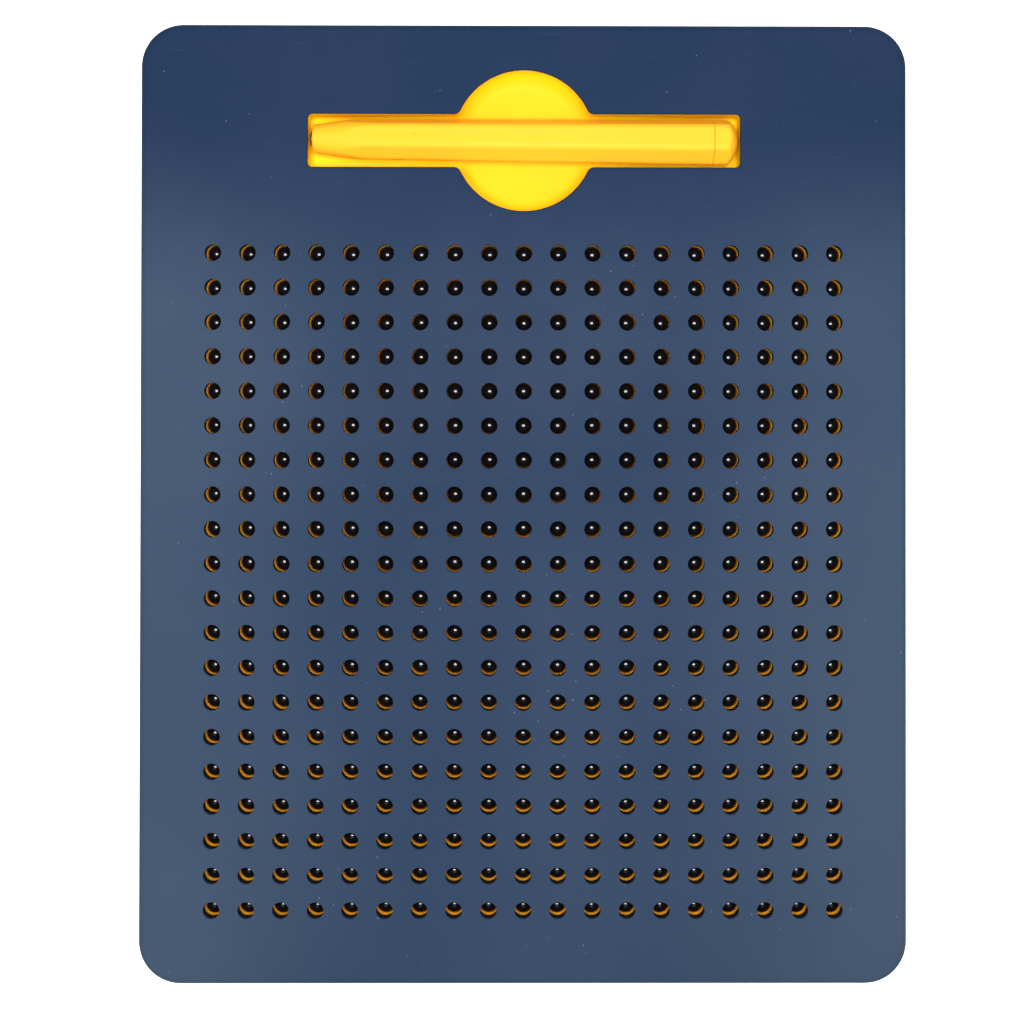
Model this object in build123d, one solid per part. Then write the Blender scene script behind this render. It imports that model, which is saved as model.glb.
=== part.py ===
from build123d import *
import os
from math import asin, cos, degrees, radians, sin, sqrt

# Magnetic bead drawing board: a navy face plate with a square grid of holes, a steel ball in a
# yellow cup behind each hole, and a yellow magnet pen lying in a recess above the grid.
# Frame: origin at the bottom centre of the board, +Z out of the drawing face, +Y towards the pen
# recess, +X to the right of someone drawing. All values are in millimetres and degrees.

# Board outline
BOARD_WIDTH = 200.0
BOARD_LENGTH = 250.0
BOARD_THICKNESS = 12.0
CORNER_RADIUS = 11.0
FACE_EDGE_ROUND = 1.8
BACK_EDGE_ROUND = 1.0
SIDE_WALL = 2.0

# Grid of balls
PITCH = 9.0
COLUMNS = 19
ROWS = 20
GRID_CENTRE_Y = -20.25
BALL_RADIUS = 2.25
BALL_REST_DEPTH = 6.2  # of a ball's centre below the face, lying in its cup
BALL_TRAVEL = 4.2  # from the cup up to the throat of the hole
SEAT_CLEARANCE = 0.12  # gap kept between a resting ball and its cup

# Holes in the front cover
PLATE_THICKNESS = 2.2
LIP_THICKNESS = 1.0  # the throat is this long, and is narrower than the ball
THROAT_RADIUS = 2.15
THROAT_CHAMFER = 0.2
COUNTERBORE_RADIUS = 2.45

# Magnet sheet behind the face plate
FIELD_MARGIN = 5.8  # from the outer hole centres to the edge of the sheet
GLUE_GAP = 0.15
SHEET_THICKNESS = 1.8
SHEET_HOLE_RADIUS = 2.4
SHEET_CORNER_RADIUS = 3.0

# Ball tray
TRAY_TOP_DEPTH = 4.3
TRAY_PLATE = 1.4
TRAY_EDGE_GAP = 0.3
CUP_RADIUS = 2.9
CUP_WALL = 1.0
CUP_SEAT_RADIUS = 0.8
CUP_BOTTOM_Z = 2.2
FIELD_RIB = 1.2

# Pen recess
RECESS_Y = 94.7
RECESS_LENGTH = 112.9
RECESS_WIDTH = 13.9
RECESS_CORNER = 1.2
RECESS_DEPTH = 9.0
RECESS_FLOOR_ROUND = 1.4
BOWL_RADIUS = 18.4
BOWL_NECK_ROUND = 2.0
LEAST_NECK_ROUND = 0.2
RIM_ROUND = 0.4
RIM_LIP = 1.0  # thickness of the face plate over the tub's upper edge
TUB_WALL = 1.4
TUB_EXTRA = 0.3  # the tub is this much wider than the opening above it, on each side
TUB_GAP = 0.2  # round the tub's upper edge, in the rebate of the face plate
TUB_TOP_GAP = 0.1

# Back cover, screws and their bosses
BACK_THICKNESS = 1.8
TONGUE_WALL = 1.2
TONGUE_HEIGHT = 1.4
TONGUE_GAP = 0.15
BOSS_X = 92.0
BOSS_END_Y = 117.0
BOSS_SIDE_Y = 40.0
BOSS_JOINT_Z = 4.0  # where the front cover's bosses meet the back cover's
FRONT_BOSS_RADIUS = 3.2
BACK_BOSS_RADIUS = 4.2
BOSS_TRAY_GAP = 0.5
PILOT_SPARE = 0.5  # depth of the pilot hole past the end of the screw
SCREW_SHANK_RADIUS = 1.1
SCREW_HEAD_RADIUS = 2.5
SCREW_HEAD_HEIGHT = 1.5
SCREW_LENGTH = 6.0  # of the shank, below the head
SCREW_SHANK_GAP = 0.02
SCREW_HOLE_RADIUS = 1.45
SCREW_HEAD_POCKET_RADIUS = 2.9
SCREW_HEAD_POCKET_DEPTH = 2.0
CROSS_LENGTH = 2.8
CROSS_WIDTH = 0.6
CROSS_DEPTH = 0.9

# Pen, built lying along X with its nose towards -X
PEN_NOSE_X = -55.4
PEN_SEAM_X = 49.6
PEN_END_X = 56.1
PEN_SEAM_GAP = 0.1
PEN_REAR_WIDTH = 12.0  # over opposite ridges, at the seam
PEN_FRONT_WIDTH = 10.7  # over opposite ridges, where the nose begins
PEN_TAPER_START_X = -41.6
PEN_RIDGE_ROUND = 1.2
PEN_NOSE_RADIUS = 3.6
PEN_NOSE_BULGE = 0.17  # of the nose flank, outside a straight cone
PEN_NOSE_ROUND = 0.5
PEN_DOME_RADIUS = 7.9
PEN_DOME_CORNER_ROUND = 1.0
PEN_DOME_MARGIN = 0.4  # of the dome's trimming shape, outside the ridges
PEN_BORE_RADIUS = 3.5
PEN_BORE_FRONT_X = -44.0
PEN_PLUG_LENGTH = 8.0
PEN_PLUG_GAP = 0.05
PEN_ROLL = -7.0  # from lying on one of its flats
PEN_YAW = -0.46
PEN_OFFSET_Y = 0.45  # from the recess centre line
PEN_FLOOR_GAP = 0.15
MAGNET_RADIUS = 2.0
MAGNET_FRONT_X = -56.0
MAGNET_LENGTH = 10.0
MAGNET_CHAMFER = 0.3
MAGNET_SEAT_GAP = 0.03

# Places worked out from the dimensions above
FACE_Z = BOARD_THICKNESS
PLATE_UNDER_Z = FACE_Z - PLATE_THICKNESS
TRAY_TOP_Z = FACE_Z - TRAY_TOP_DEPTH
TRAY_PLATE_UNDER_Z = TRAY_TOP_Z - TRAY_PLATE
RECESS_FLOOR_Z = FACE_Z - RECESS_DEPTH
TUB_TOP_Z = FACE_Z - RIM_LIP - TUB_TOP_GAP
BALL_REST_Z = FACE_Z - BALL_REST_DEPTH
CAVITY_WIDTH = BOARD_WIDTH - 2 * SIDE_WALL
CAVITY_LENGTH = BOARD_LENGTH - 2 * SIDE_WALL
CAVITY_RADIUS = CORNER_RADIUS - SIDE_WALL
GRID_WIDTH = (COLUMNS - 1) * PITCH
GRID_LENGTH = (ROWS - 1) * PITCH
FIELD_WIDTH = GRID_WIDTH + 2 * FIELD_MARGIN
FIELD_LENGTH = GRID_LENGTH + 2 * FIELD_MARGIN
BOSS_PLACES = [
    (side * BOSS_X, y)
    for side in (-1, 1)
    for y in (-BOSS_END_Y, -BOSS_SIDE_Y, BOSS_SIDE_Y, BOSS_END_Y)
]
EXTRA = 1.0  # how far a cutting tool runs past the face it cuts
SAME_PLACE = 0.01  # positions closer than this count as equal


def row_places(row):
    """Centres of the holes in one row, left to right. Row 0 is nearest the pen recess."""
    y = GRID_CENTRE_Y + GRID_LENGTH / 2 - row * PITCH
    return [(column * PITCH - GRID_WIDTH / 2, y) for column in range(COLUMNS)]


def grid_places():
    return [place for row in range(ROWS) for place in row_places(row)]


def slab(width, length, radius, low_z, high_z, centre_y=0.0):
    """A flat block with round vertical corners."""
    outline = Pos(0, centre_y, low_z) * RectangleRounded(width, length, radius)
    return extrude(outline, high_z - low_z)


def post(place, radius, low_z, high_z):
    return extrude(Pos(place[0], place[1], low_z) * Circle(radius), high_z - low_z)


def turned(points):
    """A solid of revolution about Z from the corner points (radius, height) of its half section."""
    return revolve(make_face(Plane.XZ * Polyline(*points, close=True)), Axis.Z)


def at_places(tool, places):
    return [Pos(x, y, 0) * tool for x, y in places]


def recess_outline(grow):
    """The straight pen channel joined to the round finger bowl, grown outwards by grow."""
    channel = RectangleRounded(
        RECESS_LENGTH + 2 * grow, RECESS_WIDTH + 2 * grow, RECESS_CORNER + grow
    )
    outline = channel + Circle(BOWL_RADIUS + grow)
    neck_x = sqrt((BOWL_RADIUS + grow) ** 2 - (RECESS_WIDTH / 2 + grow) ** 2)
    necks = [v for v in outline.vertices() if abs(abs(v.X) - neck_x) < SAME_PLACE]
    return Pos(0, RECESS_Y, 0) * fillet(necks, max(BOWL_NECK_ROUND - grow, LEAST_NECK_ROUND))


def recess_block(grow, low_z, high_z):
    return extrude(Pos(0, 0, low_z) * recess_outline(grow), high_z - low_z)


def loop_edges(solid, z, inside_x, inside_y):
    """The edges lying flat at height z whose middles are within the half sizes about the recess."""
    return [
        edge
        for edge in solid.edges().filter_by_position(Axis.Z, z - SAME_PLACE, z + SAME_PLACE)
        if abs(edge.center().X) < inside_x and abs(edge.center().Y - RECESS_Y) < inside_y
    ]


def hole_tool():
    """The shape removed for one ball hole: chamfered throat above a wider counterbore."""
    lip_z = FACE_Z - LIP_THICKNESS
    mouth = THROAT_RADIUS + THROAT_CHAMFER + EXTRA
    return turned([
        (0, PLATE_UNDER_Z - EXTRA),
        (COUNTERBORE_RADIUS, PLATE_UNDER_Z - EXTRA),
        (COUNTERBORE_RADIUS, lip_z),
        (THROAT_RADIUS, lip_z),
        (THROAT_RADIUS, FACE_Z - THROAT_CHAMFER),
        (mouth, FACE_Z + EXTRA),
        (0, FACE_Z + EXTRA),
    ])


def front_cover():
    """Navy shell: face plate, side walls, screw bosses, and a rebate for the pen tub's edge."""
    shell = slab(BOARD_WIDTH, BOARD_LENGTH, CORNER_RADIUS, BACK_THICKNESS, FACE_Z)
    top = shell.edges().group_by(Axis.Z)[-1]
    shell = fillet(top, FACE_EDGE_ROUND)
    shell -= slab(
        CAVITY_WIDTH, CAVITY_LENGTH, CAVITY_RADIUS, BACK_THICKNESS - EXTRA, PLATE_UNDER_Z
    )
    for place in BOSS_PLACES:
        shell += post(place, FRONT_BOSS_RADIUS, BOSS_JOINT_Z, PLATE_UNDER_Z)
    shell -= recess_block(0, PLATE_UNDER_Z - EXTRA, FACE_Z + EXTRA)
    shell = fillet(
        loop_edges(shell, FACE_Z, RECESS_LENGTH / 2 + 1, BOWL_RADIUS + 1), RIM_ROUND
    )
    tub_reach = TUB_EXTRA + TUB_WALL + TUB_GAP
    shell -= recess_block(tub_reach, PLATE_UNDER_Z - EXTRA, FACE_Z - RIM_LIP)
    pilot_top = SCREW_HEAD_POCKET_DEPTH + SCREW_LENGTH + PILOT_SPARE
    for place in BOSS_PLACES:
        shell -= post(
            place, SCREW_SHANK_RADIUS + SCREW_SHANK_GAP, BOSS_JOINT_Z - EXTRA, pilot_top
        )
    return shell - at_places(hole_tool(), grid_places())


def magnet_sheet():
    """Thin flexible magnet sheet, glued behind the face plate, with a hole for every ball."""
    high_z = PLATE_UNDER_Z - GLUE_GAP
    low_z = high_z - SHEET_THICKNESS
    outline = Pos(0, GRID_CENTRE_Y, low_z) * RectangleRounded(
        FIELD_WIDTH, FIELD_LENGTH, SHEET_CORNER_RADIUS
    )
    holes = [Pos(x, y, low_z) * Circle(SHEET_HOLE_RADIUS) for x, y in grid_places()]
    return extrude(outline - holes, SHEET_THICKNESS)


def cup_tool():
    """The space inside one cup: a round wall, then a 45 degree seat that centres the ball."""
    seat_shift = (BALL_RADIUS + SEAT_CLEARANCE) * sqrt(2)
    cone_tip_z = BALL_REST_Z - seat_shift
    return turned([
        (0, cone_tip_z + CUP_SEAT_RADIUS),
        (CUP_SEAT_RADIUS, cone_tip_z + CUP_SEAT_RADIUS),
        (CUP_RADIUS, cone_tip_z + CUP_RADIUS),
        (CUP_RADIUS, TRAY_TOP_Z + EXTRA),
        (0, TRAY_TOP_Z + EXTRA),
    ])


def recess_hollow():
    """The space inside the pen tub, with a rounded floor edge."""
    hollow = recess_block(TUB_EXTRA, RECESS_FLOOR_Z, TUB_TOP_Z + EXTRA)
    return fillet(hollow.edges().group_by(Axis.Z)[0], RECESS_FLOOR_ROUND)


def ball_tray():
    """Yellow moulding: flange plate, a cup under every hole, a rib round them, and the pen tub."""
    flange = slab(
        CAVITY_WIDTH - 2 * TRAY_EDGE_GAP,
        CAVITY_LENGTH - 2 * TRAY_EDGE_GAP,
        CAVITY_RADIUS - TRAY_EDGE_GAP,
        TRAY_PLATE_UNDER_Z,
        TRAY_TOP_Z,
    )
    rib = slab(
        FIELD_WIDTH, FIELD_LENGTH, SHEET_CORNER_RADIUS, BACK_THICKNESS, TRAY_TOP_Z, GRID_CENTRE_Y
    ) - slab(
        FIELD_WIDTH - 2 * FIELD_RIB,
        FIELD_LENGTH - 2 * FIELD_RIB,
        SHEET_CORNER_RADIUS - FIELD_RIB,
        BACK_THICKNESS - EXTRA,
        TRAY_TOP_Z + EXTRA,
        GRID_CENTRE_Y,
    )
    tray = flange + rib + recess_block(TUB_EXTRA + TUB_WALL, BACK_THICKNESS, TUB_TOP_Z)
    for place in BOSS_PLACES:
        tray -= post(place, FRONT_BOSS_RADIUS + BOSS_TRAY_GAP, BACK_THICKNESS, TRAY_TOP_Z + EXTRA)
    tray -= recess_hollow()
    cup = post((0, 0), CUP_RADIUS + CUP_WALL, CUP_BOTTOM_Z, TRAY_PLATE_UNDER_Z)
    tray += at_places(cup, grid_places())
    return tray - at_places(cup_tool(), grid_places())


def back_cover():
    """Navy plate that closes the back, with a tongue inside the side walls and screw bosses."""
    plate = slab(BOARD_WIDTH, BOARD_LENGTH, CORNER_RADIUS, 0, BACK_THICKNESS)
    plate = fillet(plate.edges().group_by(Axis.Z)[0], BACK_EDGE_ROUND)
    tongue_top = BACK_THICKNESS + TONGUE_HEIGHT
    reach = 2 * TONGUE_GAP
    tongue = slab(
        CAVITY_WIDTH - reach,
        CAVITY_LENGTH - reach,
        CAVITY_RADIUS - TONGUE_GAP,
        BACK_THICKNESS / 2,
        tongue_top,
    )
    reach += 2 * TONGUE_WALL
    tongue -= slab(
        CAVITY_WIDTH - reach,
        CAVITY_LENGTH - reach,
        CAVITY_RADIUS - TONGUE_GAP - TONGUE_WALL,
        BACK_THICKNESS,
        tongue_top + EXTRA,
    )
    cover = plate + tongue
    for place in BOSS_PLACES:
        cover += post(place, BACK_BOSS_RADIUS, BACK_THICKNESS, BOSS_JOINT_Z)
    for place in BOSS_PLACES:
        cover -= post(place, SCREW_HOLE_RADIUS, -EXTRA, BOSS_JOINT_Z + EXTRA)
        cover -= post(place, SCREW_HEAD_POCKET_RADIUS, -EXTRA, SCREW_HEAD_POCKET_DEPTH)
    return cover


def case_screws():
    """Pan head screws, heads down in the back cover's pockets, with a cross recess each."""
    seat_z = SCREW_HEAD_POCKET_DEPTH
    head_z = seat_z - SCREW_HEAD_HEIGHT
    head = post((0, 0), SCREW_HEAD_RADIUS, head_z, seat_z)
    head = fillet(head.edges().group_by(Axis.Z)[0], SCREW_HEAD_HEIGHT / 2)
    shank = post((0, 0), SCREW_SHANK_RADIUS, seat_z, seat_z + SCREW_LENGTH)
    screw = head + chamfer(shank.edges().group_by(Axis.Z)[-1], SCREW_SHANK_RADIUS / 2)
    for length, width in ((CROSS_LENGTH, CROSS_WIDTH), (CROSS_WIDTH, CROSS_LENGTH)):
        screw -= slab_box(length, width, head_z - EXTRA, head_z + CROSS_DEPTH)
    return Compound(children=at_places(screw, BOSS_PLACES))


def slab_box(width, length, low_z, high_z):
    return extrude(Pos(0, 0, low_z) * Rectangle(width, length), high_z - low_z)


def ball_row(row):
    """The steel balls of one row, lying in their cups."""
    return Compound(
        children=[Pos(x, y, BALL_REST_Z) * Sphere(BALL_RADIUS) for x, y in row_places(row)]
    )


def pen_section(width, x):
    """Hexagonal pen section with rounded ridges, a flat below, and the given width over ridges."""
    corner = width / 2 - PEN_RIDGE_ROUND
    sharp = corner + PEN_RIDGE_ROUND / cos(radians(30))
    face = Plane.YZ * RegularPolygon(sharp, 6)
    face = fillet(face.vertices(), PEN_RIDGE_ROUND)
    return Pos(x, 0, 0) * face


def pen_prism(low_x, high_x):
    """The tapered hexagonal bar that barrel and cap are both cut from."""
    slope = (PEN_REAR_WIDTH - PEN_FRONT_WIDTH) / (PEN_SEAM_X - PEN_TAPER_START_X)
    widths = [PEN_REAR_WIDTH + slope * (x - PEN_SEAM_X) for x in (low_x, high_x)]
    return loft([pen_section(widths[0], low_x), pen_section(widths[1], high_x)])


def nose_form():
    """A round bullet shape about the pen axis, which trims the ridges of the barrel to a nose."""
    ridge_radius = PEN_FRONT_WIDTH / 2
    middle = (
        (PEN_NOSE_X + PEN_TAPER_START_X) / 2,
        (PEN_NOSE_RADIUS + ridge_radius) / 2 + PEN_NOSE_BULGE,
    )
    tip = Line((PEN_NOSE_X, 0), (PEN_NOSE_X, PEN_NOSE_RADIUS))
    flank = ThreePointArc(
        (PEN_NOSE_X, PEN_NOSE_RADIUS), middle, (PEN_TAPER_START_X, ridge_radius)
    )
    clear_radius = PEN_REAR_WIDTH
    rest = Polyline(
        (PEN_TAPER_START_X, ridge_radius),
        (PEN_END_X, clear_radius),
        (PEN_END_X, 0),
        (PEN_NOSE_X, 0),
    )
    outline = make_face([tip, flank, *rest.edges()])
    corner = [v for v in outline.vertices() if abs(v.X - PEN_NOSE_X) < SAME_PLACE < v.Y]
    return revolve(fillet(corner, PEN_NOSE_ROUND), Axis.X)


def dome_form():
    """A round-ended shape about the pen axis, which trims the cap to a dome."""
    edge_radius = PEN_REAR_WIDTH / 2 + PEN_DOME_MARGIN
    edge_x = PEN_END_X - PEN_DOME_RADIUS + sqrt(PEN_DOME_RADIUS**2 - edge_radius**2)
    middle = asin(edge_radius / PEN_DOME_RADIUS) / 2
    centre_x = PEN_END_X - PEN_DOME_RADIUS
    middle_point = (
        centre_x + PEN_DOME_RADIUS * cos(middle),
        PEN_DOME_RADIUS * sin(middle),
    )
    dome = ThreePointArc((edge_x, edge_radius), middle_point, (PEN_END_X, 0))
    sides = Polyline(
        (PEN_END_X, 0), (PEN_NOSE_X, 0), (PEN_NOSE_X, edge_radius), (edge_x, edge_radius)
    )
    outline = make_face([dome, *sides.edges()])
    corner = [v for v in outline.vertices() if abs(v.X - edge_x) < SAME_PLACE < v.Y]
    return revolve(fillet(corner, PEN_DOME_CORNER_ROUND), Axis.X)


def rod(radius, low_x, high_x):
    """A round bar along the pen axis."""
    return extrude(Pos(low_x, 0, 0) * (Plane.YZ * Circle(radius)), high_x - low_x)


def lay_pen(piece):
    """Rolls, tips and turns a pen piece from its own axis to where the pen lies in the recess."""
    front_half, rear_half = [
        (width / 2 - PEN_RIDGE_ROUND) * cos(radians(30 - abs(PEN_ROLL))) + PEN_RIDGE_ROUND
        for width in (PEN_FRONT_WIDTH, PEN_REAR_WIDTH)
    ]
    span = PEN_SEAM_X - PEN_TAPER_START_X
    pitch = degrees(asin((rear_half - front_half) / span))
    middle_share = -PEN_TAPER_START_X / span
    middle_half = front_half + (rear_half - front_half) * middle_share
    axis_z = RECESS_FLOOR_Z + PEN_FLOOR_GAP + middle_half
    lie = Pos(0, RECESS_Y + PEN_OFFSET_Y, axis_z) * Rot(0, 0, PEN_YAW) * Rot(0, -pitch, 0)
    return lie * Rot(PEN_ROLL, 0, 0) * piece


def pen_barrel():
    """Hollow hexagonal barrel, open at the rear, with a blind seat for the magnet in its nose."""
    barrel = pen_prism(PEN_NOSE_X - EXTRA, PEN_SEAM_X - PEN_SEAM_GAP / 2) & nose_form()
    barrel -= rod(PEN_BORE_RADIUS, PEN_BORE_FRONT_X, PEN_SEAM_X + EXTRA)
    seat_end_x = MAGNET_FRONT_X + MAGNET_LENGTH
    barrel -= rod(MAGNET_RADIUS + MAGNET_SEAT_GAP, PEN_NOSE_X - EXTRA, seat_end_x)
    return lay_pen(barrel)


def pen_end_cap():
    """Domed cap with a round plug that fits in the barrel's bore."""
    cap = pen_prism(PEN_SEAM_X + PEN_SEAM_GAP / 2, PEN_END_X + EXTRA) & dome_form()
    cap += rod(PEN_BORE_RADIUS - PEN_PLUG_GAP, PEN_SEAM_X - PEN_PLUG_LENGTH, PEN_SEAM_X + EXTRA)
    return lay_pen(cap)


def pen_magnet():
    """Round bar magnet whose front end stands a little out of the nose."""
    magnet = rod(MAGNET_RADIUS, MAGNET_FRONT_X, MAGNET_FRONT_X + MAGNET_LENGTH)
    magnet = chamfer(magnet.edges().group_by(Axis.X)[0], MAGNET_CHAMFER)
    return lay_pen(magnet)


def write_parts():
    os.makedirs("parts", exist_ok=True)
    parts = {
        "front_cover": front_cover(),
        "magnet_sheet": magnet_sheet(),
        "ball_tray": ball_tray(),
        "back_cover": back_cover(),
        "case_screws": case_screws(),
        "pen_barrel": pen_barrel(),
        "pen_end_cap": pen_end_cap(),
        "pen_magnet": pen_magnet(),
    }
    for row in range(ROWS):
        parts[f"ball_row_{row + 1:02d}"] = ball_row(row)
    for name, shape in parts.items():
        export_step(shape, f"parts/{name}.step")


write_parts()
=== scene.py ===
"""Looks of the magnetic bead drawing board: refined meshes, procedural materials, light and camera.

Lengths in this file are in millimetres until a mesh is made, and the frame is in metres.
"""

import math
import random

import bmesh
import bpy
import numpy as np
from mathutils import Matrix, Vector
from mathutils.geometry import delaunay_2d_cdt


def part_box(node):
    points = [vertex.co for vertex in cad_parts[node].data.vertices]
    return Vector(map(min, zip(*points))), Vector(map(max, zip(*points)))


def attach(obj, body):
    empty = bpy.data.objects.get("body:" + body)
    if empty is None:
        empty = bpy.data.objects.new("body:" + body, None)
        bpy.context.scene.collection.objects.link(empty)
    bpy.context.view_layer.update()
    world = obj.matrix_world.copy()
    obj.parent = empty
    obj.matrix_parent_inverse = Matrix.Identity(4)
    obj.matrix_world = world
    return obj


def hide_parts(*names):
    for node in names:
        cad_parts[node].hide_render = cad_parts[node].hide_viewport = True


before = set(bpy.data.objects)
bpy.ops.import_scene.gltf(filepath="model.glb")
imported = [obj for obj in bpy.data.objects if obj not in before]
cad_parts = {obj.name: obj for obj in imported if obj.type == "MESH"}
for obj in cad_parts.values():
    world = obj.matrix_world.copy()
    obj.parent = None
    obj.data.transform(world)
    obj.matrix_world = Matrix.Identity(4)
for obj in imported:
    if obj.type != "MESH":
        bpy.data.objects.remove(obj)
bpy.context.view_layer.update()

MM = 0.001


def node_box(name):
    """Lowest and highest corner of a CAD node, in millimetres."""
    low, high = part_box(name)
    return np.array(low) / MM, np.array(high) / MM


def body_nodes(prefix):
    return sorted(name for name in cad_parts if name.startswith(prefix))


# ---- Sizes read from the frame ----

cover_low, cover_high = node_box("front_cover")
sheet_low, _ = node_box("magnet_sheet")
tray_low, tray_high = node_box("ball_tray")
_, back_high = node_box("back_cover")
ball_rows = body_nodes("ball_row_")
top_row_low, top_row_high = node_box(ball_rows[0])
bottom_row_low, _ = node_box(ball_rows[-1])

BOARD_WIDTH = cover_high[0] - cover_low[0]
BOARD_LENGTH = cover_high[1] - cover_low[1]
FACE_Z = cover_high[2]
PARTING_Z = cover_low[2]
SHEET_UNDER_Z = sheet_low[2]
TUB_TOP_Z = tray_high[2]
ROWS = len(ball_rows)
COLUMNS = 19
BALL_RADIUS = (top_row_high[2] - top_row_low[2]) / 2
BALL_Z = (top_row_high[2] + top_row_low[2]) / 2
GRID_WIDTH = top_row_high[0] - top_row_low[0] - 2 * BALL_RADIUS
PITCH = GRID_WIDTH / (COLUMNS - 1)
GRID_LENGTH = PITCH * (ROWS - 1)
GRID_Y = (top_row_high[1] + bottom_row_low[1]) / 2

# ---- Sizes of the shapes rebuilt here ----

CORNER_RADIUS = 11.0
EDGE_ROUND = 1.8
SIDE_WALL = 2.0
PLATE_THICKNESS = 2.2
LIP_THICKNESS = 1.0
THROAT_RADIUS = 2.15
THROAT_ROUND = 0.15
COUNTERBORE_RADIUS = 2.45
CUP_RADIUS = 2.9
CUP_WALL = 1.0
CUP_SEAT_RADIUS = 0.8
CUP_EDGE_ROUND = 0.15
SEAT_CLEARANCE = 0.12
CUP_FOOT = 0.4  # from the tub's underside up to the cups' undersides
TRAY_PLATE = 1.4
RECESS_Y = 94.7
RECESS_LENGTH = 112.9
RECESS_WIDTH = 13.9
RECESS_CORNER = 1.2
RECESS_DEPTH = 9.0
BOWL_RADIUS = 18.4
NECK_ROUND = 2.0
RIM_ROUND = 0.4
RIM_SLOPE_WIDTH = 1.2  # the face falls gently towards the opening over this width
RIM_SLOPE_DROP = 0.12
TUB_EXTRA = 0.3
TUB_WALL = 1.4
TUB_GAP = 0.2
TUB_END_ROUND = 1.4  # rounding between wall and floor, at the channel's ends
TUB_BOWL_ROUND = 4.0
SEAM_BEVEL = 0.2
BOSS_RADIUS = 3.2
BOSS_GAP = 0.5
BOSS_END_Z = back_high[2]
PILOT_RADIUS = 1.12
PILOT_TOP_Z = 8.5
BOSS_PLACES = [(x, y) for x in (-92.0, 92.0) for y in (-117.0, -40.0, 40.0, 117.0)]

GLUE_GAP = 0.15  # between the magnet sheet and the tray
BALL_DRIFT = 0.1  # how far a ball may lie off its cup's centre

PLATE_UNDER_Z = FACE_Z - PLATE_THICKNESS
TRAY_TOP_Z = SHEET_UNDER_Z - GLUE_GAP
TUB_FLOOR_Z = FACE_Z - RECESS_DEPTH
CUP_BOTTOM_Z = tray_low[2] + CUP_FOOT

# ---- Fineness of the rebuilt meshes ----

HOLE_SIDES = 32
CUP_SIDES = 24
BOSS_SIDES = 24
CORNER_STEPS = 16
EDGE_STEPS = 8
THROAT_STEPS = 3
TUB_STEPS = 8
RECESS_CORNER_STEPS = 8
NECK_STEPS = 10
BOWL_STEPS = 56
BALL_DETAIL = 4


# ---- Outlines ----

class Outline:
    """A closed loop of points with their outward directions, so that it can be offset evenly."""

    def __init__(self, points, outward):
        self.points = np.array(points, float)
        self.outward = np.array(outward, float)

    def grown(self, distance):
        return self.points + self.outward * np.reshape(distance, (-1, 1))

    def moved(self, x, y):
        return Outline(self.points + (x, y), self.outward)


def arc(centre, radius, start, end, steps, outward=1.0):
    """Points and outward directions along an arc; the angles are in degrees."""
    angles = np.radians(np.linspace(start, end, steps + 1))
    ray = np.stack([np.cos(angles), np.sin(angles)], axis=1)
    return np.array(centre) + radius * ray, outward * ray


def joined(arcs):
    return Outline(np.concatenate([a[0] for a in arcs]), np.concatenate([a[1] for a in arcs]))


def round_rectangle(width, length, radius, steps):
    x, y = width / 2 - radius, length / 2 - radius
    corners = [(x, y), (-x, y), (-x, -y), (x, -y)]
    return joined([arc(c, radius, 90 * i, 90 * i + 90, steps) for i, c in enumerate(corners)])


def circle(radius, centre, sides):
    loop = joined([arc(centre, radius, 0, 360, sides)])
    return Outline(loop.points[:-1], loop.outward[:-1])


def recess_outline():
    """Edge of the opening for the pen: a channel with the round finger bowl at its middle."""
    half_width = RECESS_WIDTH / 2
    neck_y = half_width + NECK_ROUND
    neck_x = math.sqrt((BOWL_RADIUS + NECK_ROUND) ** 2 - neck_y**2)
    lean = math.degrees(math.atan2(neck_y, neck_x))
    x, y = RECESS_LENGTH / 2 - RECESS_CORNER, half_width - RECESS_CORNER
    top = joined([
        arc((x, y), RECESS_CORNER, 0, 90, RECESS_CORNER_STEPS),
        arc((neck_x, neck_y), NECK_ROUND, 270, 180 + lean, NECK_STEPS, outward=-1.0),
        arc((0, 0), BOWL_RADIUS, lean, 180 - lean, BOWL_STEPS),
        arc((-neck_x, neck_y), NECK_ROUND, -lean, -90, NECK_STEPS, outward=-1.0),
        arc((-x, y), RECESS_CORNER, 90, 180, RECESS_CORNER_STEPS),
    ])
    whole = Outline(
        np.concatenate([top.points, -top.points]), np.concatenate([top.outward, -top.outward])
    )
    return whole.moved(0, RECESS_Y)


# ---- Mesh building ----

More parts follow.
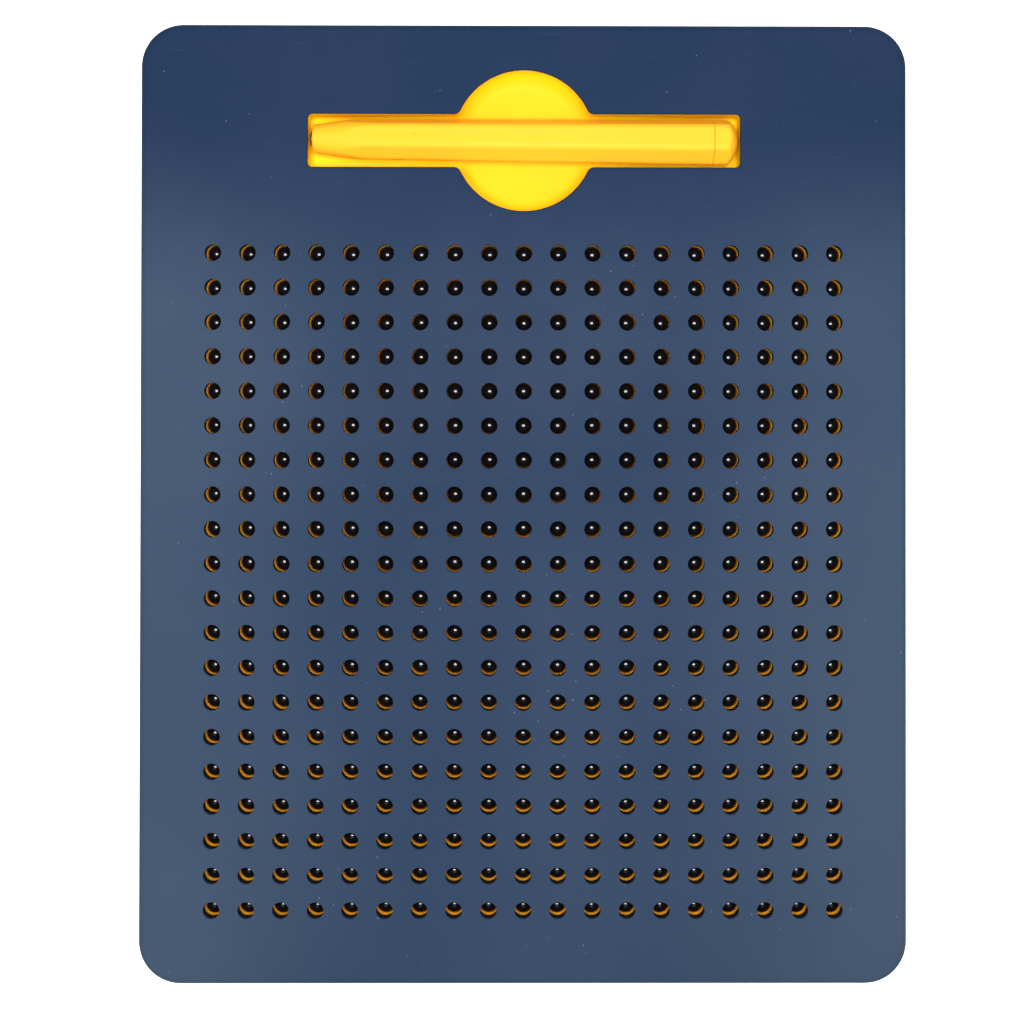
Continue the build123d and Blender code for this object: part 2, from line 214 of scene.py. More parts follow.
class Shell:
    """Collects rings of points and the faces between them, in millimetres."""

    def __init__(self):
        self.points = []
        self.faces = []
        self.count = 0

    def ring(self, points, z):
        """Adds a ring of (x, y) points at height z, and returns their numbers."""
        points = np.asarray(points, float)
        heights = np.broadcast_to(z, len(points))
        self.points.append(np.column_stack([points, heights]))
        self.count += len(points)
        return list(range(self.count - len(points), self.count))

    def bridge(self, a, b):
        size = len(a)
        for i in range(size):
            j = (i + 1) % size
            self.faces.append((a[i], a[j], b[j], b[i]))

    def sweep(self, outline, profile):
        """Offsets one outline along (offset, z) pairs, and returns the first and the last ring."""
        rings = [self.ring(outline.grown(offset), z) for offset, z in profile]
        for a, b in zip(rings, rings[1:]):
            self.bridge(a, b)
        return rings[0], rings[-1]

    def fill(self, outer, holes=()):
        """Flat triangles between an outer ring and any rings inside it."""
        flat = np.concatenate(self.points)[:, :2]
        loops = [list(outer)] + [list(hole) for hole in holes]
        numbers = [n for loop in loops for n in loop]
        local = [Vector(flat[n]) for n in numbers]
        edges, start = [], 0
        for loop in loops:
            size = len(loop)
            edges += [(start + i, start + (i + 1) % size) for i in range(size)]
            start += size
        _, _, faces, origins, _, _ = delaunay_2d_cdt(local, edges, [], 1, 1e-7)
        for face in faces:
            middle = sum((local[origins[v][0]] for v in face), Vector((0, 0))) / len(face)
            if not any(inside(middle, flat[list(hole)]) for hole in holes):
                self.faces.append(tuple(numbers[origins[v][0]] for v in face))

    def tile(self, points, faces, places):
        """Copies a small mesh to every (x, y) place."""
        points = np.asarray(points, float)
        base = np.concatenate([points + (x, y, 0) for x, y in places])
        self.points.append(base)
        for copy in range(len(places)):
            shift = self.count + copy * len(points)
            self.faces += [tuple(shift + v for v in face) for face in faces]
        self.count += len(base)

    def mesh(self, name):
        mesh = bpy.data.meshes.new(name)
        mesh.from_pydata((np.concatenate(self.points) * MM).tolist(), [], self.faces)
        work = bmesh.new()
        work.from_mesh(mesh)
        bmesh.ops.remove_doubles(work, verts=work.verts, dist=1e-4 * MM)
        bmesh.ops.recalc_face_normals(work, faces=work.faces)
        work.to_mesh(mesh)
        work.free()
        return mesh


def inside(point, loop):
    """True if the point is inside the closed loop of (x, y) corners."""
    x, y = point
    a, b = loop, np.roll(loop, -1, axis=0)
    crossing = (a[:, 1] > y) != (b[:, 1] > y)
    rise = np.where(crossing, b[:, 1] - a[:, 1], 1.0)
    at_x = a[:, 0] + (y - a[:, 1]) / rise * (b[:, 0] - a[:, 0])
    return bool(np.count_nonzero(crossing & (x < at_x)) % 2)


def square_ring(sides):
    """Points on a square of one pitch, in the directions of a regular polygon's corners."""
    angles = np.arange(sides) * 2 * math.pi / sides
    ray = np.stack([np.cos(angles), np.sin(angles)], axis=1)
    return ray / np.abs(ray).max(axis=1, keepdims=True) * PITCH / 2


def cell(sides, profile, square_z, last_square_z=None):
    """One grid cell: a square at square_z, round rings along the (radius, z) profile, then either a
    square again or a closed round floor."""
    ray = circle(1.0, (0, 0), sides).points
    square = square_ring(sides)
    rings = [np.column_stack([square, np.full(sides, square_z)])]
    rings += [np.column_stack([ray * radius, np.full(sides, z)]) for radius, z in profile]
    if last_square_z is not None:
        rings.append(np.column_stack([square, np.full(sides, last_square_z)]))
    faces = []
    for level in range(len(rings) - 1):
        for i in range(sides):
            j = (i + 1) % sides
            a, b = level * sides, (level + 1) * sides
            faces.append((a + i, a + j, b + j, b + i))
    if last_square_z is None:
        faces.append(tuple((len(rings) - 1) * sides + i for i in range(sides)))
    return np.concatenate(rings), faces


def row_places(row):
    y = GRID_Y + GRID_LENGTH / 2 - row * PITCH
    return [(column * PITCH - GRID_WIDTH / 2, y) for column in range(COLUMNS)]


GRID = [place for row in range(ROWS) for place in row_places(row)]


def field_border(sides):
    """The outer points of the whole field of cells, in order, matching square_ring of each cell."""
    square = square_ring(sides)
    east = square[np.isclose(square[:, 0], PITCH / 2)]
    steps = np.sort(east[:, 1])[:-1]
    half_x, half_y = COLUMNS * PITCH / 2, ROWS * PITCH / 2
    along_y = np.concatenate([steps + (row + 0.5) * PITCH - half_y for row in range(ROWS)])
    along_x = np.concatenate([steps + (col + 0.5) * PITCH - half_x for col in range(COLUMNS)])
    border = np.concatenate([
        np.column_stack([np.full_like(along_y, half_x), along_y]),
        np.column_stack([-along_x, np.full_like(along_x, half_y)]),
        np.column_stack([np.full_like(along_y, -half_x), -along_y]),
        np.column_stack([along_x, np.full_like(along_x, -half_y)]),
    ])
    return border + (0, GRID_Y)


def rounded_edge(start, end, z, steps):
    """Profile of an edge that runs flat from offset start and turns down at offset end."""
    radius = abs(start - end)
    turns = np.linspace(0, math.pi / 2, steps + 1)
    return [
        (end + (start - end) * (1 - math.sin(t)), z - radius * (1 - math.cos(t))) for t in turns
    ]


def rounded_floor(wall, z, radius, steps):
    """Profile from a wall at one offset down and inwards to a floor at height z."""
    turns = np.linspace(0, math.pi / 2, steps + 1)
    return [(wall - radius * (1 - math.cos(t)), z + radius * (1 - math.sin(t))) for t in turns]


def place_object(name, mesh, body, stands_for, sharp_angle=38):
    """Makes a piece of a mesh, smooth but for its sharp edges, hangs it on its body and hides the CAD
    parts that it stands for.
    """
    piece = bpy.data.objects.new(name, mesh)
    bpy.context.scene.collection.objects.link(piece)
    mesh.shade_smooth()
    if sharp_angle < 180:
        mesh.set_sharp_from_angle(angle=math.radians(sharp_angle))
        weighted = piece.modifiers.new("flat_faces_stay_flat", "WEIGHTED_NORMAL")
        weighted.keep_sharp = True
    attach(piece, body)
    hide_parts(*stands_for)
    return piece


def boss_rings(shell, radius, z):
    """Rings of points for the openings or posts at the screw places."""
    return [shell.ring(circle(radius, place, BOSS_SIDES).points, z) for place in BOSS_PLACES]


def build_front_cover():
    """Face plate with its rounded edges, ball holes, recess rim, side walls and screw bosses."""
    shell = Shell()
    side = rounded_edge(-EDGE_ROUND, 0, FACE_Z, EDGE_STEPS)
    side += [(0, PARTING_Z + SEAM_BEVEL), (-SEAM_BEVEL, PARTING_Z)]
    side += [(-SIDE_WALL, PARTING_Z), (-SIDE_WALL, PLATE_UNDER_Z)]
    outer = round_rectangle(BOARD_WIDTH, BOARD_LENGTH, CORNER_RADIUS, CORNER_STEPS)
    top_edge, under_edge = shell.sweep(outer, side)

    lip_z = FACE_Z - LIP_THICKNESS
    rebate = TUB_EXTRA + TUB_WALL + TUB_GAP
    rim = [(RIM_SLOPE_WIDTH, FACE_Z)]
    rim += rounded_edge(RIM_ROUND, 0, FACE_Z - RIM_SLOPE_DROP, EDGE_STEPS)
    rim += [(0, lip_z), (rebate, lip_z), (rebate, PLATE_UNDER_Z)]
    rim_top, rim_under = shell.sweep(recess_outline(), rim)

    hole = rounded_edge(THROAT_RADIUS + THROAT_ROUND, THROAT_RADIUS, FACE_Z, THROAT_STEPS)
    hole += [
        (THROAT_RADIUS, lip_z),
        (COUNTERBORE_RADIUS, lip_z),
        (COUNTERBORE_RADIUS, PLATE_UNDER_Z),
    ]
    shell.tile(*cell(HOLE_SIDES, hole, FACE_Z, PLATE_UNDER_Z), GRID)

    bosses = []
    for place in BOSS_PLACES:
        boss = circle(BOSS_RADIUS, place, BOSS_SIDES)
        pilot_wall = PILOT_RADIUS - BOSS_RADIUS
        top, end = shell.sweep(boss, [
            (0, PLATE_UNDER_Z), (0, BOSS_END_Z), (pilot_wall, BOSS_END_Z), (pilot_wall, PILOT_TOP_Z)
        ])
        shell.faces.append(tuple(end))
        bosses.append(top)

    face_border = shell.ring(field_border(HOLE_SIDES), FACE_Z)
    shell.fill(top_edge, [face_border, rim_top])
    under_border = shell.ring(field_border(HOLE_SIDES), PLATE_UNDER_Z)
    shell.fill(under_edge, [under_border, rim_under, *bosses])
    return place_object(
        "face_plate_shell", shell.mesh("face_plate_shell"), "board", ["front_cover"]
    )


def build_ball_tray():
    """Yellow moulding: flange, a cup under every hole, and the tub that the pen lies in."""
    shell = Shell()
    flange = round_rectangle(
        tray_high[0] - tray_low[0], tray_high[1] - tray_low[1], CORNER_RADIUS - SIDE_WALL, CORNER_STEPS
    )
    under_z = TRAY_TOP_Z - TRAY_PLATE
    top_edge, under_edge = shell.sweep(flange, [(0, TRAY_TOP_Z), (0, under_z)])

    cone_tip_z = BALL_Z - (BALL_RADIUS + SEAT_CLEARANCE) * math.sqrt(2)
    bend = CUP_EDGE_ROUND
    cup = rounded_edge(CUP_RADIUS + bend, CUP_RADIUS, TRAY_TOP_Z, 2)
    cup += [
        (CUP_RADIUS, cone_tip_z + CUP_RADIUS + 2 * bend),
        (CUP_RADIUS - bend / 2, cone_tip_z + CUP_RADIUS + bend / 2),
        (CUP_RADIUS - 2 * bend, cone_tip_z + CUP_RADIUS - 2 * bend),
        (CUP_SEAT_RADIUS, cone_tip_z + CUP_SEAT_RADIUS),
    ]
    shell.tile(*cell(CUP_SIDES, cup, TRAY_TOP_Z), GRID)
    outside = CUP_RADIUS + CUP_WALL
    shell.tile(*cell(CUP_SIDES, [(outside, under_z), (outside, CUP_BOTTOM_Z)], under_z), GRID)

    opening = recess_outline()
    outside = TUB_EXTRA + TUB_WALL
    near_end = np.abs(opening.points[:, 0]) > RECESS_LENGTH / 2 - 2 * RECESS_CORNER
    floor_round = np.where(near_end, TUB_END_ROUND, TUB_BOWL_ROUND)
    hollow = rounded_floor(TUB_EXTRA, TUB_FLOOR_Z, floor_round, TUB_STEPS)
    collar_top, tub_floor = shell.sweep(
        opening, [(outside, TRAY_TOP_Z), (outside, TUB_TOP_Z), (TUB_EXTRA, TUB_TOP_Z), *hollow]
    )
    shell.fill(tub_floor)
    tub_under, tub_bottom = shell.sweep(opening, [(outside, under_z), (outside, tray_low[2])])
    shell.fill(tub_bottom)

    gap_top = boss_rings(shell, BOSS_RADIUS + BOSS_GAP, TRAY_TOP_Z)
    gap_under = boss_rings(shell, BOSS_RADIUS + BOSS_GAP, under_z)
    for high, low in zip(gap_top, gap_under):
        shell.bridge(high, low)
    top_border = shell.ring(field_border(CUP_SIDES), TRAY_TOP_Z)
    shell.fill(top_edge, [top_border, collar_top, *gap_top])
    under_border = shell.ring(field_border(CUP_SIDES), under_z)
    shell.fill(under_edge, [under_border, tub_under, *gap_under])
    return place_object(
        "cup_and_pen_tray", shell.mesh("cup_and_pen_tray"), "board", ["ball_tray"]
    )


# ---- Balls ----

def ball_template():
    """Points on a unit sphere and its faces, from a subdivided icosahedron."""
    work = bmesh.new()
    bmesh.ops.create_icosphere(work, subdivisions=BALL_DETAIL, radius=1.0)
    points = np.array([v.co for v in work.verts])
    faces = [tuple(v.index for v in f.verts) for f in work.faces]
    work.free()
    return points / np.linalg.norm(points, axis=1, keepdims=True), faces


def build_ball_row(row, template, chance):
    """The loose balls of one row, each turned its own way and lying a hair off its cup's centre."""
    shell = Shell()
    points, faces = template
    for x, y in row_places(row):
        angle = chance.uniform(0, math.tau)
        axis = Vector([chance.gauss(0, 1) for _ in "xyz"])
        turn = np.array(Matrix.Rotation(angle, 3, axis))
        drift = chance.uniform(0, BALL_DRIFT)
        heading = chance.uniform(0, math.tau)
        place = (x + drift * math.cos(heading), y + drift * math.sin(heading))
        shell.tile(points @ turn.T * BALL_RADIUS + (0, 0, BALL_Z), faces, [place])
    node = ball_rows[row]
    name = f"steel_balls_{row + 1:02d}"
    return place_object(name, shell.mesh(name), node, [node], sharp_angle=180)


# ---- Pen, in its own frame: nose towards -X, a flat below, ridges every 60 degrees ----

PEN_NOSE_X = -55.4
PEN_SEAM_X = 49.6
PEN_END_X = 56.1
PEN_SEAM_GAP = 0.1
PEN_SEAM_BEVEL = 0.14
PEN_FRONT_WIDTH = 10.7
PEN_REAR_WIDTH = 12.0
PEN_TAPER_START_X = -41.6
PEN_RIDGE_ROUND = 2.0
PEN_NOSE_RADIUS = 3.6
PEN_NOSE_BULGE = 0.17
PEN_NOSE_ROUND = 0.5
PEN_DOME_RADIUS = 7.9
PEN_BORE_RADIUS = 3.5
PEN_BORE_FRONT_X = -44.0
PEN_PLUG_RADIUS = 3.45
PEN_PLUG_X = 41.6
PEN_ROLL = -7.0
PEN_TRIM_SOFTNESS = 0.12  # of the crease where the nose cone trims the ridges
PEN_DOME_SOFTNESS = 0.5
PEN_BLEND_LENGTH = 6.0  # of close rings past the start of the taper
PEN_CLOSE_STEP = 0.5
PEN_FIRST_WIDE_STEP = 2.0
PEN_WIDE_RINGS = 24
PEN_DOME_RINGS = 26
PEN_DOME_START = 3.5  # from the dome's centre to where its rings begin
PEN_DOME_MARGIN = 0.1  # kept free on either side of that place
PEN_DOME_LAST_LEAN = 88.5  # degrees from the dome's equator to the rim of its flat end
MAGNET_SEAT_RADIUS = 2.03
MAGNET_SEAT_END_X = -46.0
MAGNET_MIDDLE_X = -51.0
PEN_SIDES = 192


def pen_matrix():
    """Turns pen points into frame points. The axis runs through the CAD magnet and end cap."""
    front = sum(node_box("pen_magnet")) / 2
    rear = sum(node_box("pen_end_cap")) / 2
    span = -2 * MAGNET_MIDDLE_X
    rise_y, rise_z = (rear[1] - front[1]) / span, (rear[2] - front[2]) / span
    along = np.array([math.sqrt(1 - rise_y**2 - rise_z**2), rise_y, rise_z])
    side = np.cross([0, 0, 1], along)
    side /= np.linalg.norm(side)
    up = np.cross(along, side)
    roll = math.radians(PEN_ROLL)
    turned_side = side * math.cos(roll) + up * math.sin(roll)
    turned_up = up * math.cos(roll) - side * math.sin(roll)
    return np.column_stack([along, turned_side, turned_up]), front - along * MAGNET_MIDDLE_X


PEN_ANGLES = np.arange(PEN_SIDES) * math.tau / PEN_SIDES


def hexagon_radius(x):
    """Distance from the pen axis to its ridged bar, in every direction, at x along it."""
    slope = (PEN_REAR_WIDTH - PEN_FRONT_WIDTH) / (PEN_SEAM_X - PEN_TAPER_START_X)
    width = PEN_REAR_WIDTH + slope * (x - PEN_SEAM_X)
    corner = width / 2 - PEN_RIDGE_ROUND
    sixth = math.pi / 3
    off_ridge = np.abs((PEN_ANGLES + sixth / 2) % sixth - sixth / 2)
    flat = (corner * math.cos(sixth / 2) + PEN_RIDGE_ROUND) / np.cos(sixth / 2 - off_ridge)
    inner = np.clip(PEN_RIDGE_ROUND**2 - (corner * np.sin(off_ridge)) ** 2, 0, None)
    ridge = corner * np.cos(off_ridge) + np.sqrt(inner)
    ridge_half = math.atan2(
        PEN_RIDGE_ROUND * math.sin(sixth / 2), corner + PEN_RIDGE_ROUND * math.cos(sixth / 2)
    )
    return np.where(off_ridge < ridge_half, ridge, flat)


def nose_radius(x):
    """Radius of the slightly bulging cone that trims the ridges at the nose."""
    half = (PEN_TAPER_START_X - PEN_NOSE_X) / 2
    share = (x - PEN_NOSE_X - half) / half
    ridge_radius = PEN_FRONT_WIDTH / 2
    middle, rise = (PEN_NOSE_RADIUS + ridge_radius) / 2, (ridge_radius - PEN_NOSE_RADIUS) / 2
    if share > 1:
        return middle + rise + (rise - 2 * PEN_NOSE_BULGE) * (share - 1)
    return middle + rise * share + PEN_NOSE_BULGE * (1 - share**2)


def soft_least(a, b, softness):
    """The smaller of two distances, with the crease where they cross rounded off."""
    blend = np.clip(0.5 + (b - a) / (2 * softness), 0, 1)
    return b + (a - b) * blend - softness * blend * (1 - blend)


def pen_mesh(name, stations):
    """A closed mesh through rings given as (x, radius in every direction), capped at both ends."""
    shell = Shell()
    turn, origin = pen_matrix()
    rings = []
    for x, radius in stations:
        section = np.column_stack([
            np.full(PEN_SIDES, x), radius * np.cos(PEN_ANGLES), radius * np.sin(PEN_ANGLES)
        ])
        placed = section @ turn.T + origin
        rings.append(shell.ring(placed[:, :2], placed[:, 2]))
    for a, b in zip(rings, rings[1:]):
        shell.bridge(a, b)
    shell.faces += [tuple(rings[0]), tuple(rings[-1])]
    return shell.mesh(name)


def build_pen_barrel():
    """Hollow barrel with a trimmed nose, a blind seat for the magnet and a fine step at the seam."""
    rear_x = PEN_SEAM_X - PEN_SEAM_GAP / 2
    step = PEN_SEAM_BEVEL
    stations = [
        (MAGNET_SEAT_END_X, MAGNET_SEAT_RADIUS),
        (PEN_NOSE_X + step, MAGNET_SEAT_RADIUS),
        (PEN_NOSE_X, MAGNET_SEAT_RADIUS + step),
    ]
    for t in np.linspace(0, math.pi / 2, 7):
        x = PEN_NOSE_X + PEN_NOSE_ROUND * (1 - math.cos(t))
        stations.append((x, nose_radius(x) - PEN_NOSE_ROUND * (1 - math.sin(t))))
    close_start, close_end = PEN_NOSE_X + 2 * PEN_NOSE_ROUND, PEN_TAPER_START_X + PEN_BLEND_LENGTH
    close = np.arange(close_start, close_end, PEN_CLOSE_STEP)
    wide = np.linspace(close[-1] + PEN_FIRST_WIDE_STEP, rear_x - step, PEN_WIDE_RINGS)
    for x in [*close, *wide]:
        stations.append((x, soft_least(hexagon_radius(x), nose_radius(x), PEN_TRIM_SOFTNESS)))
    stations += [
        (rear_x, hexagon_radius(rear_x) - step),
        (rear_x, PEN_BORE_RADIUS),
        (PEN_BORE_FRONT_X, PEN_BORE_RADIUS),
    ]
    mesh = pen_mesh("magnet_pen_barrel", stations)
    return place_object("magnet_pen_barrel", mesh, "pen", ["pen_barrel"], 50)


def build_pen_cap():
    """Domed end cap with the plug that holds it in the barrel."""
    front_x = PEN_SEAM_X + PEN_SEAM_GAP / 2
    step = PEN_SEAM_BEVEL
    dome_x = PEN_END_X - PEN_DOME_RADIUS
    stations = [
        (PEN_PLUG_X, PEN_PLUG_RADIUS - step),
        (PEN_PLUG_X + step, PEN_PLUG_RADIUS),
        (front_x, PEN_PLUG_RADIUS),
        (front_x, hexagon_radius(front_x) - step),
    ]
    straight = np.linspace(front_x + step, dome_x + PEN_DOME_START - PEN_DOME_MARGIN, 6)
    first_lean = math.asin((PEN_DOME_START + PEN_DOME_MARGIN) / PEN_DOME_RADIUS)
    leans = np.linspace(first_lean, math.radians(PEN_DOME_LAST_LEAN), PEN_DOME_RINGS)
    curved = dome_x + PEN_DOME_RADIUS * np.sin(leans)
    for x in [*straight, *curved]:
        dome = math.sqrt(PEN_DOME_RADIUS**2 - max(x - dome_x, 0) ** 2)
        stations.append((x, soft_least(hexagon_radius(x), dome, PEN_DOME_SOFTNESS)))
    mesh = pen_mesh("magnet_pen_cap", stations)
    return place_object("magnet_pen_cap", mesh, "pen", ["pen_end_cap"], 50)


# ---- Materials ----

X, Y, Z = 0, 1, 2


class Nodes:
    """A material's node tree, with short ways to add and join nodes."""

    def __init__(self, name):
        self.material = bpy.data.materials.new(name)
        self.material.use_nodes = True
        self.tree = self.material.node_tree
        self.surface = self.tree.nodes["Principled BSDF"]
        self.place = self.add("ShaderNodeTexCoord").outputs["Object"]

    def add(self, kind):
        return self.tree.nodes.new(kind)

    def put(self, value, socket):
        """Joins an output to a socket, or sets the socket's own value."""
        if isinstance(value, bpy.types.NodeSocket):
            self.tree.links.new(value, socket)
        else:
            socket.default_value = value

    def noise(self, scale, detail, roughness=0.5, stretch=None):
        where = self.place
        if stretch is not None:
            mapping = self.add("ShaderNodeMapping")
            self.put(where, mapping.inputs["Vector"])
            mapping.inputs["Scale"].default_value = stretch
            where = mapping.outputs["Vector"]
        node = self.add("ShaderNodeTexNoise")
        self.put(where, node.inputs["Vector"])
        node.inputs["Scale"].default_value = scale
        node.inputs["Detail"].default_value = detail
        node.inputs["Roughness"].default_value = roughness
        return node.outputs["Fac"]

    def axis(self, number):
        """Position along X, Y or Z, in metres."""
        node = self.add("ShaderNodeSeparateXYZ")
        self.put(self.place, node.inputs["Vector"])
        return node.outputs[number]

    def along(self, number, start, end, at_start=0.0, at_end=1.0):
        """Eases from one value to another between two millimetre marks along X, Y or Z."""
        return self.ramp(self.axis(number), start * MM, end * MM, at_start, at_end)

    def sideways(self, start, end, at_start, at_end):
        """The same, with the distance to either side of the middle."""
        away = self.maths("ABSOLUTE", self.axis(X))
        return self.ramp(away, start * MM, end * MM, at_start, at_end)

    def spots(self, scale, radius):
        """1 inside small round spots scattered about, fading to 0 at the given share of a cell."""
        node = self.add("ShaderNodeTexVoronoi")
        self.put(self.place, node.inputs["Vector"])
        node.inputs["Scale"].default_value = scale
        node.inputs["Randomness"].default_value = 1.0
        return self.ramp(node.outputs["Distance"], radius * 0.5, radius, 1.0, 0.0)

    def ramp(self, value, low, high, at_low=0.0, at_high=1.0):
        node = self.add("ShaderNodeMapRange")
        node.interpolation_type = "SMOOTHSTEP"
        for name, setting in (
            ("Value", value), ("From Min", low), ("From Max", high),
            ("To Min", at_low), ("To Max", at_high),
        ):
            self.put(setting, node.inputs[name])
        return node.outputs["Result"]

    def maths(self, operation, a, b=0.0):
        node = self.add("ShaderNodeMath")
        node.operation = operation
        self.put(a, node.inputs[0])
        self.put(b, node.inputs[1])
        return node.outputs["Value"]

    def mix(self, share, a, b):
        node = self.add("ShaderNodeMix")
        node.data_type = "RGBA"
        self.put(share, node.inputs[0])
        self.put(a, node.inputs[6])
        self.put(b, node.inputs[7])
        return node.outputs[2]

    def bump(self, height, distance, under=None):
        node = self.add("ShaderNodeBump")
        self.put(height, node.inputs["Height"])
        node.inputs["Distance"].default_value = distance * MM
        node.inputs["Strength"].default_value = 1.0
        if under is not None:
            self.put(under, node.inputs["Normal"])
        return node.outputs["Normal"]

    def finish(self, **sockets):
        for name, value in sockets.items():
            self.put(value, self.surface.inputs[name.replace("_", " ")])
        return self.material


def colour(red, green, blue):
    return (red, green, blue, 1.0)


def painted_sheen(n):
    """How much a painted sheen, a painted reflection of the bright studio, pales the colour: most at
    the sides and the bottom, mainly on the face.
    """
    # haze: the share of painted reflection, more towards the sides and the bottom
    haze = n.maths("ADD", n.sideways(30, 100, 0.10, 0.25), n.along(Y, -120, 0, 0.06, 0.0))
    for fade in (
        n.along(Y, 45, 105, 1.0, 0.1),
        n.ramp(n.noise(14, 3), 0.25, 0.75, 0.85, 1.1),
        n.along(X, 0, 100, 1.0, 0.93),
        n.along(Z, FACE_Z - 1.5, FACE_Z - 0.1, 0.1, 1.0),
    ):
        haze = n.maths("MULTIPLY", haze, fade)
    return haze


def navy_plastic():
    """Satin ABS: spark-eroded grain, blotches where hands rest, a painted sheen (painted reflection)
    at the sides and bottom, specks, fine scratches.
    """
    n = Nodes("navy_satin_plastic")
    grain = n.noise(1600, 4, 0.6)
    blotch = n.ramp(n.noise(22, 4, 0.55), 0.42, 0.68)
    scratch = n.ramp(n.noise(95, 2, 0.5, stretch=(1.0, 26.0, 1.0)), 0.68, 0.74)
    specks = n.maths("MULTIPLY", n.spots(260, 0.06), n.ramp(n.noise(60, 1), 0.52, 0.62))
    base = n.mix(n.ramp(grain, 0.3, 0.7), colour(0.0056, 0.0185, 0.051), colour(0.0068, 0.021, 0.057))
    base = n.mix(n.maths("MULTIPLY", blotch, 0.15), base, colour(0.020, 0.032, 0.070))
    # painted sheen: a pale painted reflection of the bright studio, strongest at the sides and bottom
    # of the face
    base = n.mix(painted_sheen(n), base, colour(0.105, 0.15, 0.20))
    base = n.mix(n.maths("MULTIPLY", scratch, 0.10), base, colour(0.075, 0.115, 0.19))
    base = n.mix(n.maths("MULTIPLY", specks, 0.5), base, colour(0.22, 0.27, 0.34))
    roughness = n.maths("ADD", n.maths("MULTIPLY", blotch, -0.06), 0.66)
    normal = n.bump(grain, 0.012)
    normal = n.bump(scratch, -0.004, under=normal)
    return n.finish(
        Base_Color=base, Roughness=roughness, Normal=normal, Specular_IOR_Level=0.08
    )


def tray_colour_with_painted_light(n):
    """Colour of the tray with painted shade and painted light: a dark red painted shade deep in the
    cups' seats, and a paler painted light on the tub's thin walls and channel floor.
    """
    # painted light: a paler yellow on the channel's arms beyond the bowl and up the tub's walls
    channel = n.sideways(14.5, 18.5, 0.0, 0.8)
    wall = n.along(Z, TUB_FLOOR_Z + 0.4, TUB_FLOOR_Z + TUB_BOWL_ROUND)
    tub = n.mix(
        n.maths("MAXIMUM", channel, wall), colour(0.96, 0.50, 0.005), colour(0.98, 0.76, 0.010)
    )
    # painted shade: dark red low in each cup's seat, turning to orange higher up
    cup = n.mix(n.along(Z, 4.5, 5.6), colour(0.24, 0.024, 0.004), colour(0.98, 0.42, 0.025))
    return n.mix(n.along(Y, 66, 74), cup, tub)


def pen_tone(n):
    return colour(0.95, 0.435, 0.02)


def yellow_plastic(name, tone, deep_colour, roughness):
    """Smooth moulded ABS: slight colour drift, faint flow marks and a few dark specks."""
    n = Nodes(name)
    drift = n.ramp(n.noise(35, 3), 0.35, 0.7)
    flow = n.noise(120, 3, 0.5, stretch=(0.2, 1.0, 1.0))
    specks = n.maths("MULTIPLY", n.spots(110, 0.035), n.ramp(n.noise(31, 1), 0.56, 0.6))
    # for the tray, tone holds painted shade in the cups and painted light on the tub
    base = n.mix(n.maths("MULTIPLY", drift, 0.4), tone(n), deep_colour)
    base = n.mix(n.maths("MULTIPLY", specks, 0.5), base, colour(0.16, 0.09, 0.01))
    rough = n.ramp(flow, 0.3, 0.7, roughness - 0.04, roughness + 0.06)
    normal = n.bump(n.noise(900, 3), 0.004)
    normal = n.bump(flow, 0.01, under=normal)
    return n.finish(
        Base_Color=base, Roughness=rough, Normal=normal, Specular_IOR_Level=0.15
    )


def ball_steel():
    """Polished blackened steel with hairline scuffs and a faint oily haze."""
    n = Nodes("blackened_ball_steel")
    haze = n.noise(420, 3)
    scuff = n.ramp(n.noise(900, 2, 0.5, stretch=(1.0, 9.0, 1.0)), 0.64, 0.7)
    base = n.mix(haze, colour(0.042, 0.040, 0.044), colour(0.058, 0.055, 0.058))
    rough = n.maths("ADD", n.maths("MULTIPLY", scuff, 0.1), n.ramp(haze, 0.3, 0.7, 0.09, 0.15))
    return n.finish(Base_Color=base, Metallic=0.9, Roughness=rough, Normal=n.bump(scuff, -0.001))


def magnet_sheet_rubber():
    """Black ferrite-filled sheet, matt and slightly grainy, with a faint calendered line pattern."""
    n = Nodes("ferrite_sheet")
    grain = n.noise(1200, 4, 0.65)
    lines = n.noise(500, 2, 0.5, stretch=(0.05, 1.0, 1.0))
    base = n.mix(grain, colour(0.007, 0.006, 0.006), colour(0.014, 0.012, 0.012))
    normal = n.bump(lines, 0.01, under=n.bump(grain, 0.02))
    rough = n.ramp(grain, 0.3, 0.7, 0.6, 0.8)
    return n.finish(Base_Color=base, Roughness=rough, Normal=normal, Specular_IOR_Level=0.15)


def plated_metal(name, dark, light, roughness):
    """Plated steel with small dull patches and a fine grain."""
    n = Nodes(name)
    patch = n.noise(700, 4, 0.6)
    base = n.mix(patch, dark, light)
    rough = n.ramp(patch, 0.3, 0.75, roughness - 0.06, roughness + 0.12)
    return n.finish(
        Base_Color=base, Metallic=1.0, Roughness=rough, Normal=n.bump(n.noise(2600, 2), 0.004)
    )


MATERIALS = {
    "navy_plastic": navy_plastic(),
    "yellow_plastic": yellow_plastic(
        "yellow_tray_plastic", tray_colour_with_painted_light, colour(0.95, 0.45, 0.004), 0.6
    ),
    "pen_plastic": yellow_plastic(
        "yellow_pen_plastic", pen_tone, colour(0.94, 0.415, 0.017), 0.5
    ),
    "ball_steel": ball_steel(),
    "magnet_sheet": magnet_sheet_rubber(),
    "screw_steel": plated_metal(
        "zinc_plated_steel", colour(0.45, 0.45, 0.46), colour(0.66, 0.65, 0.62), 0.32
    ),
    "magnet_metal": plated_metal(
        "dark_magnet_plating", colour(0.07, 0.06, 0.06), colour(0.16, 0.15, 0.15), 0.35
    ),
}


def dress(piece, slot):
    piece.data.materials.clear()
    piece.data.materials.append(MATERIALS[slot])


# ---- Stage, light and camera ----

